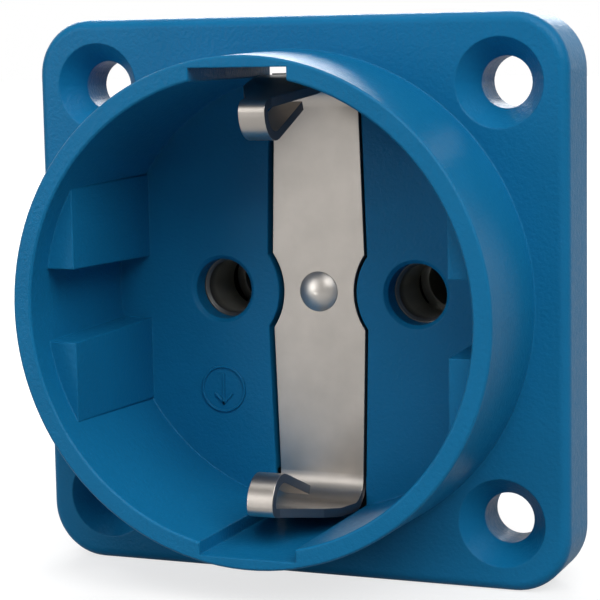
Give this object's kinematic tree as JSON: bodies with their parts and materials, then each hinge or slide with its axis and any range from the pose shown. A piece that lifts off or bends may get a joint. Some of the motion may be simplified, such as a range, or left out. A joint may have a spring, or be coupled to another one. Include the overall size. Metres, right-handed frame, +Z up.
{
  "type": "panel socket outlet",
  "caption": "Panel socket with a square flange, round collar, deep recess, two pin holes, side earth clips and screw terminals behind.",
  "frame": {"origin": "centre of the four fixing holes on the flange's back face", "axes": "+X to the right as seen by a person facing the socket, +Y from the face to the back, +Z up"},
  "size_m": [0.05, 0.0404, 0.05],
  "materials": {
    "housing_plastic": "fine matt blue moulding",
    "carrier_plastic": "matt near-black moulding",
    "nickel_plate": "nickel-plated sheet, drawn grain along its length",
    "rivet_steel": "smooth plated dome",
    "contact_metal": "nickel-plated brass",
    "brass": "bare brass sheet",
    "spring_steel": "oiled spring steel",
    "zinc_steel": "zinc-plated pressed steel",
    "screw_steel": "zinc-plated turned steel"
  },
  "bodies": {
    "socket": {"housing": "housing_plastic", "earth_strap": "nickel_plate", "strap_rivet": "rivet_steel", "contact_carrier": "carrier_plastic", "line_contact": "contact_metal", "neutral_contact": "contact_metal", "line_spring_ring": "spring_steel", "neutral_spring_ring": "spring_steel", "earth_terminal_bracket": "brass", "carrier_screw_left": "screw_steel", "carrier_screw_right": "screw_steel"},
    "line_clamp": {"line_clamp_plate": "zinc_steel", "line_lock_washer": "spring_steel"},
    "neutral_clamp": {"neutral_clamp_plate": "zinc_steel", "neutral_lock_washer": "spring_steel"},
    "earth_clamp": {"earth_clamp_plate": "zinc_steel", "earth_lock_washer": "spring_steel"},
    "line_screw": {"line_terminal_screw": "screw_steel"},
    "neutral_screw": {"neutral_terminal_screw": "screw_steel"},
    "earth_screw": {"earth_terminal_screw": "screw_steel"}
  },
  "joints": [
    {"name": "line_clamp_slide", "type": "slide", "parent": "socket", "child": "line_clamp", "axis": [0, 1, 0], "range_m": [0, 0.003]},
    {"name": "neutral_clamp_slide", "type": "slide", "parent": "socket", "child": "neutral_clamp", "axis": [0, 1, 0], "range_m": [0, 0.003]},
    {"name": "earth_clamp_slide", "type": "slide", "parent": "socket", "child": "earth_clamp", "axis": [0, 1, 0], "range_m": [0, 0.003]},
    {"name": "line_screw_turn", "type": "hinge", "parent": "line_clamp", "child": "line_screw", "pos_m": [-0.0095, 0.0166, -0.009], "axis": [0, 1, 0], "range_deg": [0, 1801]},
    {"name": "neutral_screw_turn", "type": "hinge", "parent": "neutral_clamp", "child": "neutral_screw", "pos_m": [0.0095, 0.0166, -0.009], "axis": [0, 1, 0], "range_deg": [0, 1801]},
    {"name": "earth_screw_turn", "type": "hinge", "parent": "earth_clamp", "child": "earth_screw", "pos_m": [0, 0.0166, 0.0096], "axis": [0, 1, 0], "range_deg": [0, 1801]}
  ],
  "couplings": [
    {"joint": "line_screw_turn", "follows": "line_clamp_slide", "rad_per_m": 10472},
    {"joint": "neutral_screw_turn", "follows": "neutral_clamp_slide", "rad_per_m": 10472},
    {"joint": "earth_screw_turn", "follows": "earth_clamp_slide", "rad_per_m": 10472}
  ]
}
